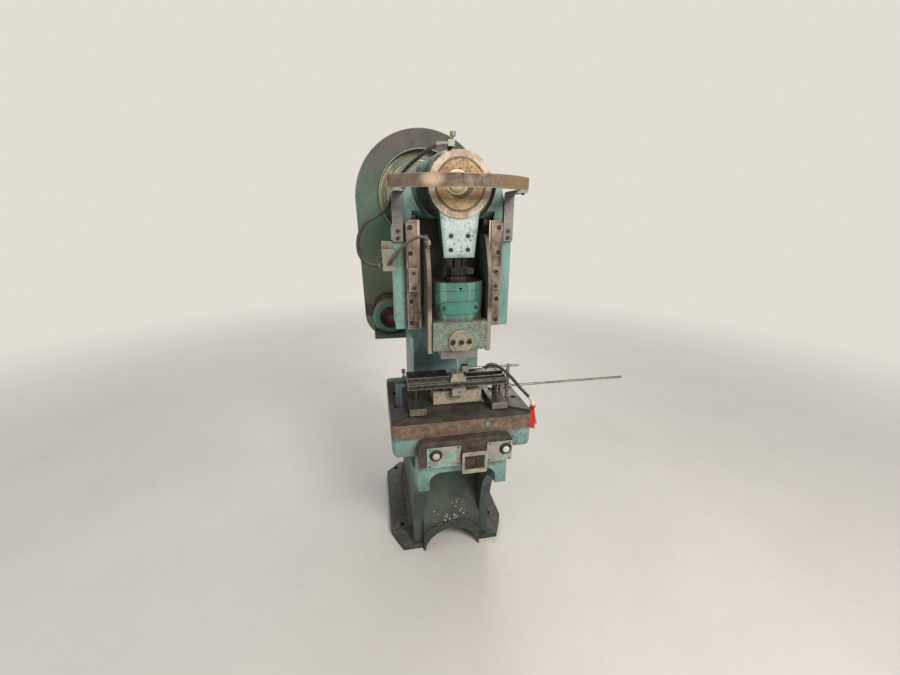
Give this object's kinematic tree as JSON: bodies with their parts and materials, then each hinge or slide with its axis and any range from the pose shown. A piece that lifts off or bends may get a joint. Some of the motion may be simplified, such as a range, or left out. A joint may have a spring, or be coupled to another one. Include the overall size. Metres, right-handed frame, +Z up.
{
  "type": "mechanical stamping press",
  "caption": "C-frame eccentric stamping press: cast frame, eccentric crank and rod, guided ram, bolster with punch tooling, guarded flywheel and belt drive, two-hand controls.",
  "frame": {"origin": "on the floor, under the ram's axis and on the press's centre plane", "axes": "+Z up, +Y from the press's front to its back along the crank axis, +X to the right of someone who stands in front"},
  "size_m": [1.211, 1.479, 2.117],
  "materials": {
    "frame_paint": "turquoise machine enamel, worn, dusty",
    "bolster_steel": "oily dark steel",
    "black_screws": "blackened steel",
    "bronze": "bearing bronze",
    "gib_copper": "oily copper-brown",
    "post_steel": "bare flat bar",
    "bar_rust": "brown rust",
    "guard_paint": "brown-grey over green, dusty",
    "cover_paint": "grey-green",
    "bracket_paint": "green",
    "motor_paint": "green-grey, dusty",
    "cowl_paint": "brown-grey, dusty",
    "box_metal": "worn green-grey with bare brown top",
    "switch_metal": "cast light metal",
    "collar_black": "black",
    "palm_pink": "faded pale pink",
    "palm_white": "white",
    "key_green": "dark green",
    "key_red": "faded red",
    "lube_metal": "dull light metal",
    "hose_black": "matte black",
    "hose_grey": "dusty grey",
    "valve_red": "red",
    "tool_steel": "ground steel, oily",
    "dusty_steel": "dusty steel",
    "dark_steel": "dark oily steel",
    "bright_steel": "bright ground steel",
    "clamp_steel": "bluish steel",
    "forged_steel": "oily forged steel",
    "bush_tan": "tan, pitted",
    "cap_steel": "turned, stained",
    "drum_iron": "dark iron",
    "rod_paint": "pale grey-green, sides dark green",
    "ram_paint": "green enamel, worn edges",
    "cover_green": "green enamel",
    "wheel_paint": "olive, oily",
    "belt_rubber": "black rubber"
  },
  "bodies": {
    "root": {"frame_casting": "frame_paint", "slug_chute": "frame_paint", "bolster_plate": "bolster_steel", "bolster_bolts": "black_screws", "bearing_bushes": "bronze", "gib_left": "gib_copper", "gib_right": "gib_copper", "knockout_stops": "gib_copper", "head_screws": "black_screws", "guard_posts": "post_steel", "guard_bar": "bar_rust", "belt_guard": "guard_paint", "guard_rear_cover": "cover_paint", "guard_brackets": "bracket_paint", "motor_housing": "motor_paint", "fan_cowl": "cowl_paint", "terminal_box": "motor_paint", "motor_shelf": "bracket_paint", "control_box": "box_metal", "switch_box": "switch_metal", "button_collars": "collar_black", "lubricator_block": "lube_metal", "lube_hose": "hose_black", "air_valve": "valve_red", "parallel_strips": "tool_steel", "clamp_studs": "dark_steel", "base_block": "dusty_steel", "die_bed": "dark_steel", "die_blocks": "bright_steel", "stop_rod": "tool_steel", "cross_rod": "tool_steel", "blow_hose": "hose_black", "side_clamp": "clamp_steel", "v_belts": "belt_rubber"},
    "crank": {"crankshaft": "forged_steel", "eccentric_bush": "bush_tan", "pin_cap": "cap_steel", "brake_drum": "drum_iron"},
    "rod": {"conrod": "rod_paint", "conrod_screws": "black_screws", "oil_fitting": "lube_metal", "adjusting_screw": "forged_steel", "lock_collar": "dark_steel"},
    "slide": {"ram": "ram_paint", "ball_seat": "bronze", "retaining_ring": "tool_steel", "ram_cover": "cover_green", "shank_clamp": "tool_steel", "ram_screws": "black_screws", "punch_holder": "tool_steel", "punch": "bright_steel", "ram_hose": "hose_grey"},
    "wheel": {"flywheel": "wheel_paint", "clutch_housing": "drum_iron"},
    "rotor": {"motor_shaft": "tool_steel", "motor_pulley": "drum_iron"},
    "palm_left": {"palm_button_left": "palm_pink"},
    "palm_right": {"palm_button_right": "palm_white"},
    "start_key": {"start_button": "key_green"},
    "stop_key": {"stop_button": "key_red"}
  },
  "joints": [
    {"name": "crank_turn", "type": "hinge", "parent": "root", "child": "crank", "pos_m": [0, 0.1, 1.734], "axis": [0, -1, 0], "range_deg": [0, 180]},
    {"name": "conrod_swing", "type": "hinge", "parent": "crank", "child": "rod", "pos_m": [0, 0, 1.716], "axis": [0, -1, 0], "range_deg": [-180, 0]},
    {"name": "ram_stroke", "type": "slide", "parent": "root", "child": "slide", "axis": [0, 0, 1], "range_m": [0, 0.036]},
    {"name": "flywheel_spin", "type": "hinge", "parent": "root", "child": "wheel", "pos_m": [0, 1.14, 1.734], "axis": [0, 1, 0], "continuous": true},
    {"name": "motor_spin", "type": "hinge", "parent": "root", "child": "rotor", "pos_m": [-0.234, 1.1, 1.054], "axis": [0, 1, 0], "continuous": true},
    {"name": "palm_left_push", "type": "slide", "parent": "root", "child": "palm_left", "axis": [0, 1, 0], "range_m": [0, 0.005], "stiffness_N_per_m": 600},
    {"name": "palm_right_push", "type": "slide", "parent": "root", "child": "palm_right", "axis": [0, 1, 0], "range_m": [0, 0.005], "stiffness_N_per_m": 600},
    {"name": "start_push", "type": "slide", "parent": "root", "child": "start_key", "axis": [0, 1, 0], "range_m": [0, 0.003], "stiffness_N_per_m": 400},
    {"name": "stop_push", "type": "slide", "parent": "root", "child": "stop_key", "axis": [0, 1, 0], "range_m": [0, 0.003], "stiffness_N_per_m": 400}
  ],
  "couplings": [
    {"joint": "conrod_swing", "follows": "crank_turn", "ratio": -1},
    {"joint": "ram_stroke", "follows": "crank_turn", "m_per_rad": 0.011459},
    {"joint": "motor_spin", "follows": "flywheel_spin", "ratio": 5.4531}
  ]
}
